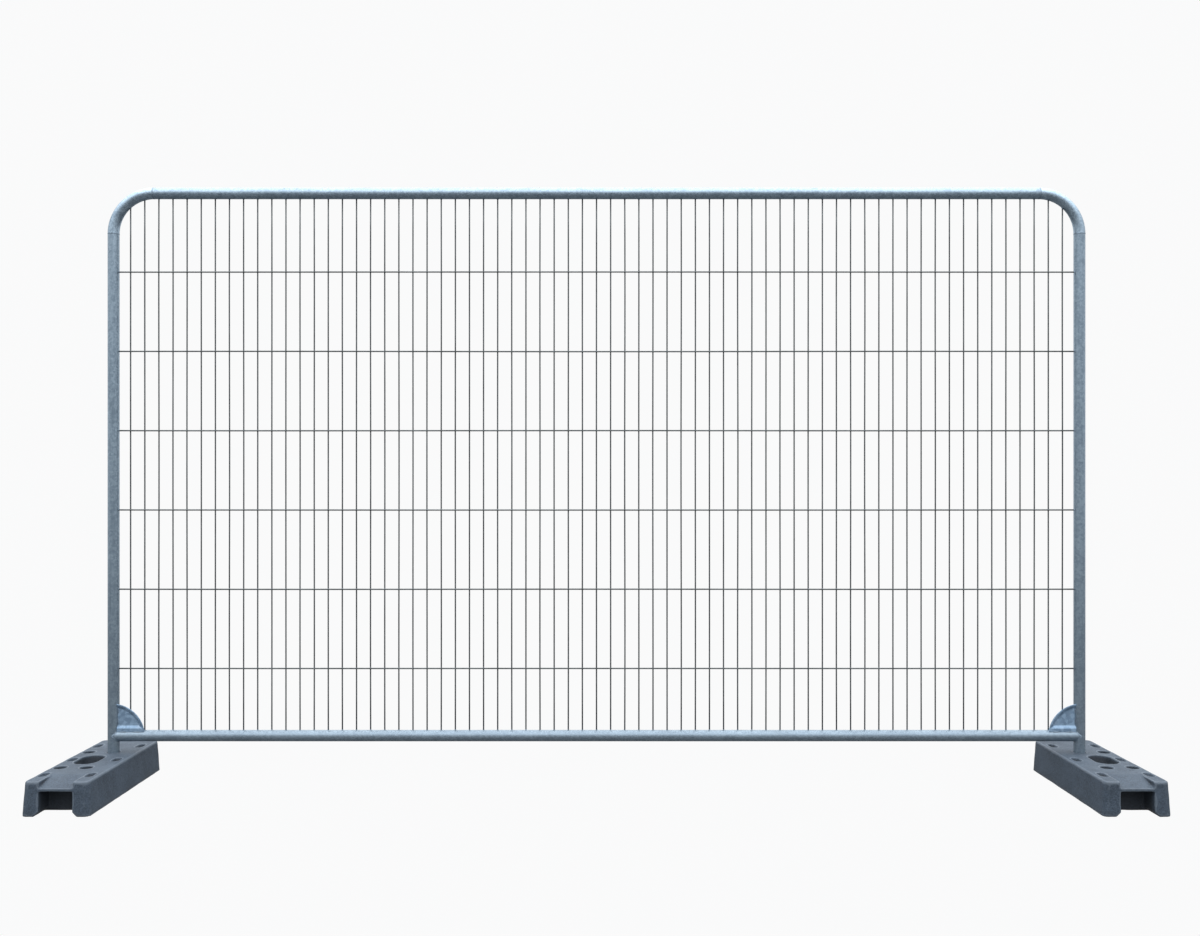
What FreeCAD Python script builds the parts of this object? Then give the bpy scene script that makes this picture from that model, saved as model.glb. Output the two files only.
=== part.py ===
import FreeCAD, Part

import math
import os

import Sketcher

# Temporary fence panel: a round-topped frame of galvanised tube, filled with
# welded wire, standing in two moulded feet. Millimetres, +Z up. The origin is
# on the ground, half way between the feet and half way along them. The panel
# stands in the rear row of sockets, on the +Y side.

doc = FreeCAD.newDocument("fence_panel")

# ---------------------------------------------------------------- sizes
SIZES = {
    # frame of tube
    "panel_width": 3500,       # outside of post to outside of post
    "top_height": 2132,        # ground to the top of the top rail
    "rail_height": 170,        # ground to the centre of the bottom rail
    "tube_od": 40,
    "tube_wall": 1.5,
    "bend_radius": 145,        # centreline of the corner bends
    # welded wire
    "wire_dia": 5,
    "weld_bite": 1,            # depth that a welded wire sinks into a tube
    "cross_bite": 0.5,         # depth that crossing wires sink into each other
    "upright_count": 67,
    "edge_gap": 60.2,          # post centre to the outermost upright wire
    "level_count": 6,
    "low_gap": 241,            # bottom rail centre to the lowest level wire
    "high_gap": 282,           # top rail centre to the highest level wire
    # gusset plates
    "gusset_radius": 118,      # from the crossing of the tube centrelines
    "gusset_plate": 3,
    "gusset_rise": 6,          # height of the rim over the dished field
    "gusset_rim": 3,           # flat of the rim along the arc
    "gusset_foot": 8,          # flat of the rim over the bottom rail
    "gusset_slope": 13,        # width of the slope from the rim to the field
    "gusset_bite": 1.4,        # depth that the plate sinks into the tubes
    "gusset_gap": 0.3,         # plate to the wires behind it
    # feet
    "foot_length": 616,
    "foot_width": 222,         # at the ground
    "foot_height": 112,
    "foot_draft": 3.2,         # degrees
    "foot_corner": 20,         # rounding of the upright corners
    "foot_edge": 7,            # rounding of the top edges
    "socket_play": 1,          # all round the leg
    "socket_floor": 15,
    "socket_lip": 3,           # rounding of the sockets' rims
    "leg_lift": 0.5,           # leg end above the socket floor
    "socket_pitch": 88,        # across the foot, from panel to panel
    "socket_inset": 15,        # from the foot's middle line to the near socket
    "socket_row": 110,         # from the foot's middle to each row
    "well_side": 22,           # from the foot's middle line, away from the near sockets
    "well_length": 132,        # funnel-shaped hole, at the top
    "well_width": 80,
    "well_base_length": 96,
    "well_base_width": 44,
    "notch_length": 54,
    "notch_width": 28,
    "notch_depth": 12,
    "notch_draft": 20,         # degrees
    "notch_pitch": 207,
    "notch_near": 72,          # from the foot's middle line, on the near sockets' side
    "notch_far": 82,           # the same on the other side
    "grip_width": 110,
    "grip_bar": 31,            # top face to the underside of the grip bars
    "grip_depth": 80,
    "grip_flare": 14,
    "slope_length": 105,       # slope from the top face down to the front grip bar
    "slope_drop": 23,
}

sheet = doc.addObject("Spreadsheet::Sheet", "Sheet")
for row, (alias, value) in enumerate(SIZES.items(), start=1):
    sheet.set("A%d" % row, alias)
    sheet.set("B%d" % row, str(value))
    sheet.setAlias("B%d" % row, alias)
doc.recompute()


def size(alias):
    """The number that the sheet holds for a size."""
    return float(sheet.get(alias))


# ------------------------------------------- places worked out from the sizes
TUBE_R = "(Sheet.tube_od / 2)"
BORE_R = "(Sheet.tube_od / 2 - Sheet.tube_wall)"
WIRE_R = "(Sheet.wire_dia / 2)"
SOCKET_R = "(Sheet.tube_od / 2 + Sheet.socket_play)"
POST_X = "((Sheet.panel_width - Sheet.tube_od) / 2)"
TOP_Z = "(Sheet.top_height - Sheet.tube_od / 2)"
BEND_X = "(%s - Sheet.bend_radius)" % POST_X
BEND_Z = "(%s - Sheet.bend_radius)" % TOP_Z
LEG_Z = "(Sheet.socket_floor + Sheet.leg_lift)"
PANEL_Y = "Sheet.socket_row"
UPRIGHT_PITCH = "(2 * (%s - Sheet.edge_gap) / (Sheet.upright_count - 1))" % POST_X
LEVEL_PITCH = ("((%s - Sheet.high_gap - Sheet.rail_height - Sheet.low_gap)"
               " / (Sheet.level_count - 1))" % TOP_Z)
WIRE_SHIFT = "((Sheet.wire_dia - Sheet.cross_bite) / 2)"
WIRE_FRONT = "(%s + %s)" % (WIRE_SHIFT, WIRE_R)
SIDES = {"left": -1, "right": 1}

parts = []


def bind(thing, **expressions):
    for prop, expression in expressions.items():
        thing.setExpression(prop, expression)


def place(thing, x="0", y="0", z="0", axis=(0, 0, 1), angle=0):
    """Turn a piece about its own origin, then put that origin at x, y, z."""
    turn = FreeCAD.Rotation(FreeCAD.Vector(*axis), angle)
    thing.Placement = FreeCAD.Placement(FreeCAD.Vector(0, 0, 0), turn)
    for letter, expression in zip("xyz", (x, y, z)):
        thing.setExpression("Placement.Base." + letter, expression)
    return thing


def sub_part(thing, name):
    thing.Label = name
    parts.append(thing)


def signed(side, expression):
    return expression if side > 0 else "-%s" % expression


# ---------------------------------------------------------------- sketches
def new_sketch(body, name, role, offset=None):
    """A sketch on one of the body's origin planes, moved along its normal."""
    plane = next(f for f in body.Origin.OriginFeatures if f.Role == role)
    sketch = body.newObject("Sketcher::SketchObject", name)
    sketch.AttachmentSupport = [(plane, "")]
    sketch.MapMode = "FlatFace"
    if offset is not None:
        sketch.setExpression("AttachmentOffset.Base.z", offset)
    return sketch


def constrain(sketch, kind, where, expression):
    """A sketch dimension whose value follows an expression."""
    start = value_of(expression)
    index = sketch.addConstraint(Sketcher.Constraint(kind, *where, start))
    sketch.setExpression("Constraints[%d]" % index, expression)


def hold(sketch, geometry, point, x=None, y=None):
    """Hold a point of the sketch at x and y, measured from its origin."""
    if x is not None:
        constrain(sketch, "DistanceX", (-1, 1, geometry, point), x)
    if y is not None:
        constrain(sketch, "DistanceY", (-1, 1, geometry, point), y)


def add_loop(sketch, geometries):
    """Closed outline: each piece's end is joined to the next one's start."""
    ids = [sketch.addGeometry(g) for g in geometries]
    for this, following in zip(ids, ids[1:] + ids[:1]):
        sketch.addConstraint(Sketcher.Constraint("Coincident", this, 2, following, 1))
    return ids


def vector(x, y):
    return FreeCAD.Vector(x, y, 0)


def add_polygon(sketch, corners):
    """Outline through corners, each a pair of expressions."""
    xy = [[value_of(e) for e in corner] for corner in corners]
    lines = [Part.LineSegment(vector(*a), vector(*b)) for a, b in zip(xy, xy[1:] + xy[:1])]
    for line, (x, y) in zip(add_loop(sketch, lines), corners):
        hold(sketch, line, 1, x, y)


def value_of(expression):
    """The present value of an expression, for a sketch's starting shape."""
    return float(sheet.evalExpression(str(expression)))


def add_circle(sketch, radius, x, y):
    start = Part.Circle(vector(value_of(x), value_of(y)), FreeCAD.Vector(0, 0, 1), value_of(radius))
    circle = sketch.addGeometry(start)
    constrain(sketch, "Radius", (circle,), radius)
    hold(sketch, circle, 3, x, y)


def add_slot(sketch, length, width, x, y):
    """Round-ended slot along the sketch's y, centred on x, y."""
    half = "(%s / 2)" % width
    reach = "((%s - %s) / 2)" % (length, width)
    left, right = "%s - %s" % (x, half), "%s + %s" % (x, half)
    low, high = "%s - %s" % (y, reach), "%s + %s" % (y, reach)
    x0, x1, y0, y1 = (value_of(e) for e in (left, right, low, high))
    middle, r = value_of(x), value_of(half)
    up = FreeCAD.Vector(0, 0, 1)
    ids = add_loop(sketch, [
        Part.LineSegment(vector(x1, y0), vector(x1, y1)),
        Part.ArcOfCircle(Part.Circle(vector(middle, y1), up, r), 0, math.pi),
        Part.LineSegment(vector(x0, y1), vector(x0, y0)),
        Part.ArcOfCircle(Part.Circle(vector(middle, y0), up, r), math.pi, 2 * math.pi),
    ])
    hold(sketch, ids[0], 1, right, low)
    hold(sketch, ids[0], 2, right, high)
    hold(sketch, ids[2], 1, left, high)
    hold(sketch, ids[2], 2, left, low)
    hold(sketch, ids[1], 3, y=high)
    hold(sketch, ids[3], 3, y=low)


def add_sector(sketch, side, corner_x, corner_y, radius):
    """Corner square to the tubes, closed by an arc about the sketch's origin."""
    x, y, r = (value_of(e) for e in (corner_x, corner_y, radius))
    along, above = math.sqrt(r * r - y * y), math.sqrt(r * r - x * x)
    low, high = math.atan2(y, along), math.atan2(above, x)
    if side < 0:
        low, high = math.pi - high, math.pi - low
    circle = Part.Circle(vector(0, 0), FreeCAD.Vector(0, 0, 1), r)
    corner = vector(side * x, y)
    on_rail, on_post = vector(side * along, y), vector(side * x, above)
    first, last = (on_rail, on_post) if side > 0 else (on_post, on_rail)
    ids = add_loop(sketch, [
        Part.LineSegment(corner, first),
        Part.ArcOfCircle(circle, low, high),
        Part.LineSegment(last, corner),
    ])
    rail_line, post_line = (ids[0], ids[2]) if side > 0 else (ids[2], ids[0])
    rail_end, post_end = (2, 1) if side > 0 else (1, 2)
    sketch.addConstraint(Sketcher.Constraint("Coincident", ids[1], 3, -1, 1))
    constrain(sketch, "Radius", (ids[1],), radius)
    hold(sketch, ids[0], 1, signed(side, corner_x), corner_y)
    hold(sketch, rail_line, rail_end, y=corner_y)
    hold(sketch, post_line, post_end, x=signed(side, corner_x))


# ------------------------------------------------------------ frame of tube
def tube(name, length):
    """A straight length of tube along its own +Z."""
    outside = doc.addObject("Part::Cylinder", name + "_outside")
    inside = doc.addObject("Part::Cylinder", name + "_inside")
    bind(outside, Radius=TUBE_R, Height=length)
    bind(inside, Radius=BORE_R, Height=length)
    return cut(name + "_tube", outside, inside)


def cut(name, base, tool):
    result = doc.addObject("Part::Cut", name)
    result.Base = base
    result.Tool = tool
    return result


def make_post(word, side):
    """Upright tube from inside the foot to the start of the corner bend."""
    name = word + "_post"
    post = tube(name, "%s - %s" % (BEND_Z, LEG_Z))
    sub_part(place(post, signed(side, POST_X), PANEL_Y, LEG_Z), name)


def make_corner_bend(word, side):
    """Quarter of a torus wall, from the post's top to the top rail's end."""
    name = word + "_corner_bend"
    rings = []
    for layer, radius in (("outside", TUBE_R), ("inside", BORE_R)):
        ring = doc.addObject("Part::Torus", "%s_%s" % (name, layer))
        ring.Angle3 = 90
        bind(ring, Radius1="Sheet.bend_radius", Radius2=radius)
        rings.append(ring)
    bend = cut(name + "_wall", *rings)
    # the quarter ring lies from +X to +Y: stood up, +Y becomes +Z
    turn = FreeCAD.Rotation(FreeCAD.Vector(1, 0, 0), 90)
    if side < 0:
        turn = FreeCAD.Rotation(FreeCAD.Vector(0, 0, 1), 180) * turn
    place(bend, signed(side, BEND_X), PANEL_Y, BEND_Z, tuple(turn.Axis), math.degrees(turn.Angle))
    sub_part(bend, name)


def make_top_rail():
    rail = tube("top_rail", "2 * %s" % BEND_X)
    place(rail, signed(-1, BEND_X), PANEL_Y, TOP_Z, (0, 1, 0), 90)
    sub_part(rail, "top_rail")


def make_bottom_rail():
    """Tube between the posts, its ends shaped to the posts' round sides."""
    rail = tube("bottom_rail_blank", "2 * %s" % POST_X)
    place(rail, signed(-1, POST_X), PANEL_Y, "Sheet.rail_height", (0, 1, 0), 90)
    for word, side in SIDES.items():
        cutter = doc.addObject("Part::Cylinder", word + "_post_seat")
        bind(cutter, Radius=TUBE_R, Height="2 * Sheet.tube_od")
        place(cutter, signed(side, POST_X), PANEL_Y, "Sheet.rail_height - Sheet.tube_od")
        rail = cut("bottom_rail_%s_end" % word, rail, cutter)
    sub_part(rail, "bottom_rail")


# ------------------------------------------------------------- welded wire
def make_level_wires():
    """Level wires from post to post, in front of the upright wires."""
    for number in range(int(size("level_count"))):
        name = "horizontal_wire_%d" % (number + 1)
        wire = doc.addObject("Part::Cylinder", name)
        reach = "(%s - %s + Sheet.weld_bite)" % (POST_X, TUBE_R)
        bind(wire, Radius=WIRE_R, Height="2 * " + reach)
        level = "%s - Sheet.high_gap - %d * %s" % (TOP_Z, number, LEVEL_PITCH)
        place(wire, "-" + reach, "%s - %s" % (PANEL_Y, WIRE_SHIFT), level, (0, 1, 0), 90)
        sub_part(wire, name)


def make_upright_wires():
    """Upright wires from the bottom rail to the top rail or the corner bends."""
    groups = {"upright_wires": [], "left_corner_wires": [], "right_corner_wires": []}
    count = int(size("upright_count"))
    for number in range(count):
        steps = number - (count - 1) / 2
        x = "(%s * %s)" % (steps, UPRIGHT_PITCH)
        past_rail = abs(value_of(x)) - value_of(BEND_X)
        foot = "(Sheet.rail_height + %s - Sheet.weld_bite)" % TUBE_R
        if past_rail > 0:
            inner = "(Sheet.bend_radius - %s + Sheet.weld_bite)" % TUBE_R
            head = "(%s + sqrt(%s ^ 2 - (abs(%s) - %s) ^ 2))" % (BEND_Z, inner, x, BEND_X)
            group = "left_corner_wires" if steps < 0 else "right_corner_wires"
        else:
            head = "(%s - %s + Sheet.weld_bite)" % (TOP_Z, TUBE_R)
            group = "upright_wires"
        wire = doc.addObject("Part::Cylinder", "upright_%02d" % number)
        bind(wire, Radius=WIRE_R, Height="%s - %s" % (head, foot))
        place(wire, x, "%s + %s" % (PANEL_Y, WIRE_SHIFT), foot)
        groups[group].append(wire)
    for name, wires in groups.items():
        bundle = doc.addObject("Part::Compound", name + "_set")
        bundle.Links = wires
        sub_part(bundle, name)


# ----------------------------------------------------------------- gussets
def make_gusset(word, side):
    """Quarter-disc plate, dished so that its rim stands out in front."""
    name = word + "_gusset"
    inward = -side
    body = doc.addObject("PartDesign::Body", name + "_body")
    edge = "(%s - Sheet.gusset_bite)" % TUBE_R
    blank = new_sketch(body, name + "_outline", "XZ_Plane")
    add_sector(blank, inward, edge, edge, "Sheet.gusset_radius")
    pad = body.newObject("PartDesign::Pad", name + "_blank")
    pad.Profile = blank
    bind(pad, Length="Sheet.gusset_plate + Sheet.gusset_rise")

    beyond = "(%s - Sheet.gusset_foot)" % edge
    shoulder = "(%s + Sheet.gusset_foot)" % edge
    mouth_radius = "(Sheet.gusset_radius - Sheet.gusset_rim)"
    mouth = new_sketch(body, name + "_mouth", "XZ_Plane", "Sheet.gusset_plate + Sheet.gusset_rise")
    add_sector(mouth, inward, beyond, shoulder, mouth_radius)
    field = new_sketch(body, name + "_field", "XZ_Plane", "Sheet.gusset_plate")
    add_sector(field, inward, beyond, "(%s + Sheet.gusset_slope)" % shoulder,
               "(%s - Sheet.gusset_slope)" % mouth_radius)
    dish = body.newObject("PartDesign::SubtractiveLoft", name + "_dish")
    dish.Profile = mouth
    dish.Sections = [field]
    dish.Ruled = True

    place(body, signed(side, POST_X), "%s - %s - Sheet.gusset_gap" % (PANEL_Y, WIRE_FRONT),
          "Sheet.rail_height")
    sub_part(body, name)


# -------------------------------------------------------------------- feet
def pocket(body, sketch, name, **expressions):
    cutter = body.newObject("PartDesign::Pocket", name)
    cutter.Profile = sketch
    bind(cutter, **expressions)
    return cutter


def check_cut(cutter, before):
    """A pocket that points the wrong way removes nothing: stop if it does."""
    doc.recompute()
    if not cutter.Shape.Volume < before - 1:
        raise RuntimeError("%s cuts nothing" % cutter.Name)


def round_edges(body, base, name, radius, chosen):
    """Fillet on those edges of a feature that a test picks out."""
    doc.recompute()
    names = ["Edge%d" % (i + 1) for i, edge in enumerate(base.Shape.Edges) if chosen(edge)]
    fillet = body.newObject("PartDesign::Fillet", name)
    fillet.Base = (base, names)
    bind(fillet, Radius=radius)
    return fillet


def make_foot(word, side):
    """Moulded block with four sockets, a well, edge notches and end grips.

    In the block's own frame +Y runs along it and its near sockets, those for
    this panel, are on the +X side. The right foot is turned half round, so the
    slope at its front is at the +Y end of the block, and the left foot's at -Y.
    """
    name = word + "_foot"
    body = doc.addObject("PartDesign::Body", name + "_body")
    top = size("foot_height")
    half_width, half_length = "(Sheet.foot_width / 2)", "(Sheet.foot_length / 2)"

    base = new_sketch(body, name + "_base", "XY_Plane")
    add_polygon(base, [("-" + half_width, "-" + half_length), (half_width, "-" + half_length),
                       (half_width, half_length), ("-" + half_width, half_length)])
    block = body.newObject("PartDesign::Pad", name + "_block")
    block.Profile = base
    bind(block, Length="Sheet.foot_height", TaperAngle="-Sheet.foot_draft")
    corners = round_edges(body, block, name + "_corners", "Sheet.foot_corner",
                          lambda e: e.BoundBox.ZLength > top / 2)
    shell = round_edges(body, corners, name + "_edges", "Sheet.foot_edge",
                        lambda e: e.BoundBox.ZMin > top - 0.01)
    doc.recompute()

    # slope down to the front grip bar, cut across the block
    slope = new_sketch(body, name + "_slope", "YZ_Plane")
    inner = signed(side, "(%s - Sheet.slope_length)" % half_length)
    outer = signed(side, "(%s + Sheet.slope_length)" % half_length)
    low = "(Sheet.foot_height - 2 * Sheet.slope_drop)"
    above = "(Sheet.foot_height + Sheet.slope_drop)"
    add_polygon(slope, [(inner, "Sheet.foot_height"), (outer, low),
                        (outer, above), (inner, above)])
    sloped = pocket(body, slope, name + "_slope_cut", Length="Sheet.grip_width")
    sloped.SideType = "Symmetric"
    check_cut(sloped, shell.Shape.Volume)

    # hand holds under the grip bars, open at the ends and at the ground
    previous = sloped
    half_grip = "(Sheet.grip_width / 2)"
    grip_height = "(Sheet.foot_height - Sheet.grip_bar)"
    flared = "(Sheet.grip_width / 2 + Sheet.grip_flare)"
    for end, sign in (("front", 1), ("back", -1)):
        wall = signed(sign, "(%s - Sheet.grip_depth)" % half_length)
        grip = new_sketch(body, "%s_%s_grip" % (name, end), "XZ_Plane", wall)
        add_polygon(grip, [("-" + flared, "-Sheet.grip_flare"), (flared, "-Sheet.grip_flare"),
                           (flared, "0"), (half_grip, "Sheet.grip_flare"),
                           (half_grip, grip_height), ("-" + half_grip, grip_height),
                           ("-" + half_grip, "Sheet.grip_flare"), ("-" + flared, "0")])
        hold_cut = pocket(body, grip, "%s_%s_hold" % (name, end), Length="2 * Sheet.grip_depth")
        hold_cut.Reversed = sign > 0
        check_cut(hold_cut, previous.Shape.Volume)
        previous = hold_cut

    # sockets for two posts in each of two rows
    near = "Sheet.socket_inset"
    far = "(Sheet.socket_inset - Sheet.socket_pitch)"
    sockets = new_sketch(body, name + "_sockets", "XY_Plane", "Sheet.foot_height")
    for x in (near, far):
        for y in ("Sheet.socket_row", "-Sheet.socket_row"):
            add_circle(sockets, SOCKET_R, x, y)
    socketed = pocket(body, sockets, name + "_socket_cut",
                      Length="Sheet.foot_height - Sheet.socket_floor")
    check_cut(socketed, previous.Shape.Volume)

    # well: a funnel right through
    well_x = "-Sheet.well_side"
    mouth = new_sketch(body, name + "_well_mouth", "XY_Plane", "Sheet.foot_height")
    add_slot(mouth, "Sheet.well_length", "Sheet.well_width", well_x, "0")
    drain = new_sketch(body, name + "_well_drain", "XY_Plane")
    add_slot(drain, "Sheet.well_base_length", "Sheet.well_base_width", well_x, "0")
    well = body.newObject("PartDesign::SubtractiveLoft", name + "_well")
    well.Profile = mouth
    well.Sections = [drain]
    well.Ruled = True
    check_cut(well, socketed.Shape.Volume)

    # shallow notches along both long edges
    notches = new_sketch(body, name + "_notches", "XY_Plane", "Sheet.foot_height")
    for x in ("Sheet.notch_near", "-Sheet.notch_far"):
        for y in ("-Sheet.notch_pitch", "0", "Sheet.notch_pitch"):
            add_slot(notches, "Sheet.notch_length", "Sheet.notch_width", x, y)
    notched = pocket(body, notches, name + "_notch_cut", Length="Sheet.notch_depth",
                     TaperAngle="-Sheet.notch_draft")
    check_cut(notched, well.Shape.Volume)

    rims = round_edges(body, notched, name + "_socket_rims", "Sheet.socket_lip",
                       lambda e: is_socket_rim(e, top))
    body.Tip = rims
    place(body, signed(side, "(%s + Sheet.socket_inset)" % POST_X), angle=180 if side > 0 else 0)
    sub_part(body, name)


def is_socket_rim(edge, top):
    """Whether an edge is a socket's full circle in the top face."""
    on_top = edge.BoundBox.ZMin > top - 0.01
    return on_top and edge.isClosed() and abs(edge.Curve.Radius - value_of(SOCKET_R)) < 0.01


# ------------------------------------------------------------------ build
for side_word, side_sign in SIDES.items():
    make_post(side_word, side_sign)
    make_corner_bend(side_word, side_sign)
    make_gusset(side_word, side_sign)
    make_foot(side_word, side_sign)
make_top_rail()
make_bottom_rail()
make_level_wires()
make_upright_wires()
doc.recompute()

for thing in doc.Objects:
    if "Invalid" in thing.State or "Error" in thing.State:
        raise RuntimeError("%s failed: %s" % (thing.Name, thing.State))
for part in parts:
    if part.Shape.isNull() or not part.Shape.isValid() or not part.Shape.Solids:
        raise RuntimeError("%s has no valid solid" % part.Label)

os.makedirs("parts", exist_ok=True)
for part in parts:
    part.Shape.exportStep("parts/%s.step" % part.Label)
    print("%-22s %3d solids %12.1f mm3" % (part.Label, len(part.Shape.Solids), part.Shape.Volume))
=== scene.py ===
import math

import bmesh
import bpy
import numpy as np
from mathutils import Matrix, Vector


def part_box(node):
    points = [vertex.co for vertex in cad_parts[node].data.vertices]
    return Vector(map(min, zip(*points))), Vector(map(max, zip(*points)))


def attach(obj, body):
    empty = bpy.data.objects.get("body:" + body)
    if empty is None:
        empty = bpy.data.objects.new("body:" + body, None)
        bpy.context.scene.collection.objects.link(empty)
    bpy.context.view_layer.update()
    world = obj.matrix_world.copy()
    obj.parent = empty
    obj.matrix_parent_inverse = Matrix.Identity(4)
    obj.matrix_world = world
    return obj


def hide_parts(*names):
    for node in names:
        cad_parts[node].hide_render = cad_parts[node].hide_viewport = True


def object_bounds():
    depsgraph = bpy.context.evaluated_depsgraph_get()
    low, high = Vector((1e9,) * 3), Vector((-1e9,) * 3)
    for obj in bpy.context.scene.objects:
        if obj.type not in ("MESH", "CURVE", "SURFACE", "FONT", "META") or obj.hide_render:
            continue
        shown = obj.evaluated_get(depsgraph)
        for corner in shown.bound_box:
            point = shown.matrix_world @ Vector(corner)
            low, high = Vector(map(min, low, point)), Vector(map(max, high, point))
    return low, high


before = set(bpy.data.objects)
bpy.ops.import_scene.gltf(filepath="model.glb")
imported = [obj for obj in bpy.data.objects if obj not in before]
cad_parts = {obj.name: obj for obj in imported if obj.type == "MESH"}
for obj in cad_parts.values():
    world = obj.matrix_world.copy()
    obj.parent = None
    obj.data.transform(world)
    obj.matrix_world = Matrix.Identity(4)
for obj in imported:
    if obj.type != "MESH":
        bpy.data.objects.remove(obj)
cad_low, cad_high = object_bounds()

# Temporary fence panel: galvanised tube frame, welded wire, pressed gussets and
# two moulded rubber feet. Metres, +Z up, the panel facing -Y. Places come from
# the frame's own boxes; the values below are details that it doesn't hold.

rng = np.random.default_rng(20)
SIDES = {"left": -1, "right": 1}

TUBE_WALL = 0.0015
TUBE_LIP = 0.0005
TUBE_SIDES = 56
TUBE_SPANS = 12
BEND_SPANS = 33
BEND_SQUEEZE = 0.03        # how much narrower a bend's section is half way round
WIRE_SIDES = 10
WELD_BITE = 0.001
UPRIGHT_COUNT = 67
LEVEL_COUNT = 6

# ------------------------------------------------ places read from the frame
post_low, post_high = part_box("right_post")
TUBE_R = (post_high.x - post_low.x) / 2
POST_X = (post_high.x + post_low.x) / 2
PANEL_Y = (post_high.y + post_low.y) / 2
LEG_Z = post_low.z
BEND_Z = post_high.z
rail_low, rail_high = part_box("top_rail")
BEND_X = rail_high.x
TOP_Z = (rail_high.z + rail_low.z) / 2
BEND_R = POST_X - BEND_X
rail_low, rail_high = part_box("bottom_rail")
RAIL_Z = (rail_high.z + rail_low.z) / 2
wire_low, wire_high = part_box("horizontal_wire_1")
WIRE_R = (wire_high.z - wire_low.z) / 2
LEVEL_Y = (wire_high.y + wire_low.y) / 2
LEVEL_REACH = wire_high.x
wire_low, wire_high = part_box("upright_wires")
UPRIGHT_Y = (wire_high.y + wire_low.y) / 2
UPRIGHT_FOOT = wire_low.z
OUTER_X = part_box("right_corner_wires")[1].x - WIRE_R
upright_x = np.linspace(-OUTER_X, OUTER_X, UPRIGHT_COUNT)
level_boxes = [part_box("horizontal_wire_%d" % (n + 1)) for n in range(LEVEL_COUNT)]
level_z = np.array([(low.z + high.z) / 2 for low, high in level_boxes])


# ------------------------------------------------------------- shape helpers
def rippled(turns, count, depth, closed=True):
    """Height of a weld's scales along its run: each scale rises to full height
    and falls away as the square of the way through it, with a little wander."""
    along = np.linspace(0, 1, count, endpoint=not closed)
    scale = (along * turns) % 1.0
    wander = 0.06 * np.sin(2 * np.pi * 3 * along + 1.0) + 0.05 * np.sin(2 * np.pi * 7 * along)
    return 1 + wander - depth * scale ** 2


def grid_quads(rows, columns, close_rows=True, close_columns=True):
    """Quads between neighbours of a rows by columns grid of points."""
    i = np.arange(rows if close_rows else rows - 1)
    j = np.arange(columns if close_columns else columns - 1)
    i, j = np.meshgrid(i, j, indexing="ij")
    i_next, j_next = (i + 1) % rows, (j + 1) % columns
    corners = [i * columns + j, i * columns + j_next,
               i_next * columns + j_next, i_next * columns + j]
    return np.stack(corners, axis=-1).reshape(-1, 4).tolist()


def sweep(centres, across, upward, half_width, half_height, sides, closed=False):
    """Points centre + half_width cos(a) across + half_height sin(a) upward, for
    the angle a round the section and the centres along the path. An open run
    has a flat face at each end."""
    a = np.linspace(0, 2 * np.pi, sides, endpoint=False)
    width = np.broadcast_to(half_width, (len(centres),))[:, None, None]
    height = np.broadcast_to(half_height, (len(centres),))[:, None, None]
    points = (centres[:, None] + width * np.cos(a)[None, :, None] * across[:, None]
              + height * np.sin(a)[None, :, None] * upward[:, None])
    faces = grid_quads(len(centres), sides, close_rows=closed)
    if not closed:
        last = (len(centres) - 1) * sides
        faces += [list(range(sides)), list(range(last, last + sides))]
    return points.reshape(-1, 3), faces


def gather(shapes):
    """Several (points, faces) shapes as one."""
    points, faces, start = [], [], 0
    for some_points, some_faces in shapes:
        points.append(some_points)
        faces += [[start + corner for corner in face] for face in some_faces]
        start += len(some_points)
    return np.concatenate(points), faces


def nuggets(centres, radii):
    """Small closed blobs, each an ellipsoid of three rings and two poles."""
    sides = 8
    low_pole, high_pole, last_ring = 3 * sides, 3 * sides + 1, 2 * sides
    rings = np.array([-0.5, 0.0, 0.5]) * np.pi * 0.56
    a = np.linspace(0, 2 * np.pi, sides, endpoint=False)
    level, turn = np.meshgrid(rings, a, indexing="ij")
    ball = np.stack([np.cos(level) * np.cos(turn), np.cos(level) * np.sin(turn),
                     np.sin(level)], axis=-1).reshape(-1, 3)
    ball = np.concatenate([ball, [[0, 0, -1], [0, 0, 1]]])
    faces = grid_quads(3, sides, close_rows=False)
    faces += [[low_pole, (n + 1) % sides, n] for n in range(sides)]
    faces += [[high_pole, last_ring + n, last_ring + (n + 1) % sides] for n in range(sides)]
    swell = rng.uniform(0.88, 1.12, (len(centres), 1, 3))
    points = centres[:, None] + ball[None] * swell * np.asarray(radii)[None, None]
    shifts = np.arange(len(centres)) * len(ball)
    every = [[shift + corner for corner in face] for shift in shifts.tolist() for face in faces]
    return points.reshape(-1, 3), every


def wall_outline(length, spans):
    """Closed outline of a tube's wall as distance along and radius: out along
    the outside, round a lip, back along the bore and round the other lip."""
    bore, lip = TUBE_R - TUBE_WALL, TUBE_LIP
    run = np.linspace(2 * lip, length - 2 * lip, spans)
    run = np.concatenate([[lip], run, [length - lip]])
    q = np.linspace(0, np.pi / 2, 4)[1:]
    along = [run, length - lip + lip * np.sin(q), length - lip + lip * np.cos(q),
             run[::-1], lip - lip * np.sin(q), lip - lip * np.cos(q)]
    radius = [np.full(len(run), TUBE_R), TUBE_R - lip + lip * np.cos(q),
              bore + lip - lip * np.sin(q), np.full(len(run), bore),
              bore + lip - lip * np.cos(q), TUBE_R - lip + lip * np.sin(q)]
    return np.concatenate(along), np.concatenate(radius)


def new_piece(name, shape, finish, body="panel", nodes=()):
    """A piece from points and faces, with its normals outwards."""
    points, faces = shape
    mesh = bpy.data.meshes.new(name)
    mesh.from_pydata(np.asarray(points, float).tolist(), [], faces)
    shell = bmesh.new()
    shell.from_mesh(mesh)
    bmesh.ops.recalc_face_normals(shell, faces=shell.faces)
    shell.to_mesh(mesh)
    shell.free()
    return mount_piece(name, mesh, finish, body, nodes)


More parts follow.
